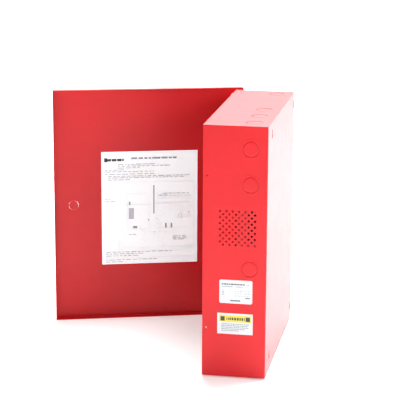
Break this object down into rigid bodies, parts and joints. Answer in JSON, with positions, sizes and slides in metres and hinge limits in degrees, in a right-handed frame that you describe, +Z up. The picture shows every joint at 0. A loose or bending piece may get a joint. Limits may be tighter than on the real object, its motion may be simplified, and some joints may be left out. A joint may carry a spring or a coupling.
{
  "type": "fire alarm control panel",
  "caption": "Wall-mounted red steel fire alarm panel: vented cabinet with conduit knock-outs and keyholes, hinged door, circuit boards, transformer and standby batteries.",
  "frame": {"origin": "centre of the back wall's outer face, where the cabinet meets the wall", "axes": "+Y into the wall, +Z up, +X to the right as seen from the front; the front faces -Y"},
  "size_m": [0.3963, 0.4603, 0.4622],
  "materials": {
    "red_powder_coat": "semi-gloss fine-textured powder coat",
    "label_paper": "satin",
    "plated_steel": "zinc plated",
    "terminal_steel": "tin plated",
    "board_green": "solder mask",
    "terminal_plastic": "satin",
    "relay_plastic": "satin",
    "fuse_yellow": "gloss",
    "chip_plastic": "matte moulded",
    "lamp_green": "clear moulded",
    "capacitor_sleeve": "shrink sleeve",
    "socket_plastic": "nylon",
    "switch_red": "satin",
    "switch_white": "satin",
    "core_steel": "varnished laminations",
    "coil_tape": "polyester tape",
    "heat_sink_aluminium": "black anodised extrusion",
    "fuse_glass": "clear",
    "choke_copper": "enamelled",
    "wire_yellow": "insulation",
    "wire_green": "insulation",
    "battery_case": "moulded",
    "sleeve_red": "vinyl",
    "wire_red": "insulation",
    "wire_black": "insulation",
    "wire_blue": "insulation"
  },
  "bodies": {
    "cabinet": {"cabinet_wrap": "red_powder_coat", "cabinet_top": "red_powder_coat", "cabinet_bottom": "red_powder_coat", "cabinet_knockouts": "red_powder_coat", "rating_label": "label_paper", "caution_label": "label_paper", "cabinet_hinge_leaves": "red_powder_coat", "cabinet_hinge_rivets": "red_powder_coat", "hinge_pins": "plated_steel", "control_board": "board_green", "control_posts": "plated_steel", "control_screws": "plated_steel", "supply_board": "board_green", "supply_posts": "plated_steel", "supply_screws": "plated_steel", "output_terminals": "terminal_plastic", "input_terminals": "terminal_plastic", "terminal_screws": "terminal_steel", "relays": "relay_plastic", "output_fuses": "fuse_yellow", "controller_chip": "chip_plastic", "small_chips": "chip_plastic", "status_lamps": "lamp_green", "control_capacitors": "capacitor_sleeve", "board_sockets": "socket_plastic", "dip_switch_body": "switch_red", "transformer_core": "core_steel", "transformer_coil": "coil_tape", "heat_sink": "heat_sink_aluminium", "power_devices": "chip_plastic", "supply_capacitors": "capacitor_sleeve", "mains_terminals": "terminal_plastic", "mains_fuse": "fuse_glass", "fuse_caps": "terminal_steel", "fuse_clips": "terminal_steel", "choke": "choke_copper", "board_harness": "wire_yellow", "ground_stud": "plated_steel", "ground_nuts": "plated_steel", "ground_wire": "wire_green", "battery_left": "battery_case", "battery_right": "battery_case", "battery_tabs": "terminal_steel", "battery_sleeves": "sleeve_red", "battery_lead_red": "wire_red", "battery_lead_black": "wire_black", "battery_jumper": "wire_blue"},
    "door": {"door_panel": "red_powder_coat", "lock_knockout": "red_powder_coat", "wiring_label": "label_paper", "door_hinge_leaves": "red_powder_coat", "door_hinge_rivets": "red_powder_coat"},
    "dip_slider_1_key": {"dip_slider_1": "switch_white"},
    "dip_slider_2_key": {"dip_slider_2": "switch_white"},
    "dip_slider_3_key": {"dip_slider_3": "switch_white"},
    "dip_slider_4_key": {"dip_slider_4": "switch_white"},
    "dip_slider_5_key": {"dip_slider_5": "switch_white"},
    "dip_slider_6_key": {"dip_slider_6": "switch_white"},
    "dip_slider_7_key": {"dip_slider_7": "switch_white"},
    "dip_slider_8_key": {"dip_slider_8": "switch_white"}
  },
  "joints": [
    {"name": "door_hinge", "type": "hinge", "parent": "cabinet", "child": "door", "pos_m": [-0.19165, -0.0938, 0], "axis": [0, 0, -1], "range_deg": [-72, 108]},
    {"name": "dip_slide_1", "type": "slide", "parent": "cabinet", "child": "dip_slider_1_key", "axis": [0, 0, 1], "range_m": [0, 0.002]},
    {"name": "dip_slide_2", "type": "slide", "parent": "cabinet", "child": "dip_slider_2_key", "axis": [0, 0, 1], "range_m": [0, 0.002]},
    {"name": "dip_slide_3", "type": "slide", "parent": "cabinet", "child": "dip_slider_3_key", "axis": [0, 0, 1], "range_m": [0, 0.002]},
    {"name": "dip_slide_4", "type": "slide", "parent": "cabinet", "child": "dip_slider_4_key", "axis": [0, 0, 1], "range_m": [0, 0.002]},
    {"name": "dip_slide_5", "type": "slide", "parent": "cabinet", "child": "dip_slider_5_key", "axis": [0, 0, 1], "range_m": [0, 0.002]},
    {"name": "dip_slide_6", "type": "slide", "parent": "cabinet", "child": "dip_slider_6_key", "axis": [0, 0, 1], "range_m": [0, 0.002]},
    {"name": "dip_slide_7", "type": "slide", "parent": "cabinet", "child": "dip_slider_7_key", "axis": [0, 0, 1], "range_m": [0, 0.002]},
    {"name": "dip_slide_8", "type": "slide", "parent": "cabinet", "child": "dip_slider_8_key", "axis": [0, 0, 1], "range_m": [0, 0.002]}
  ]
}
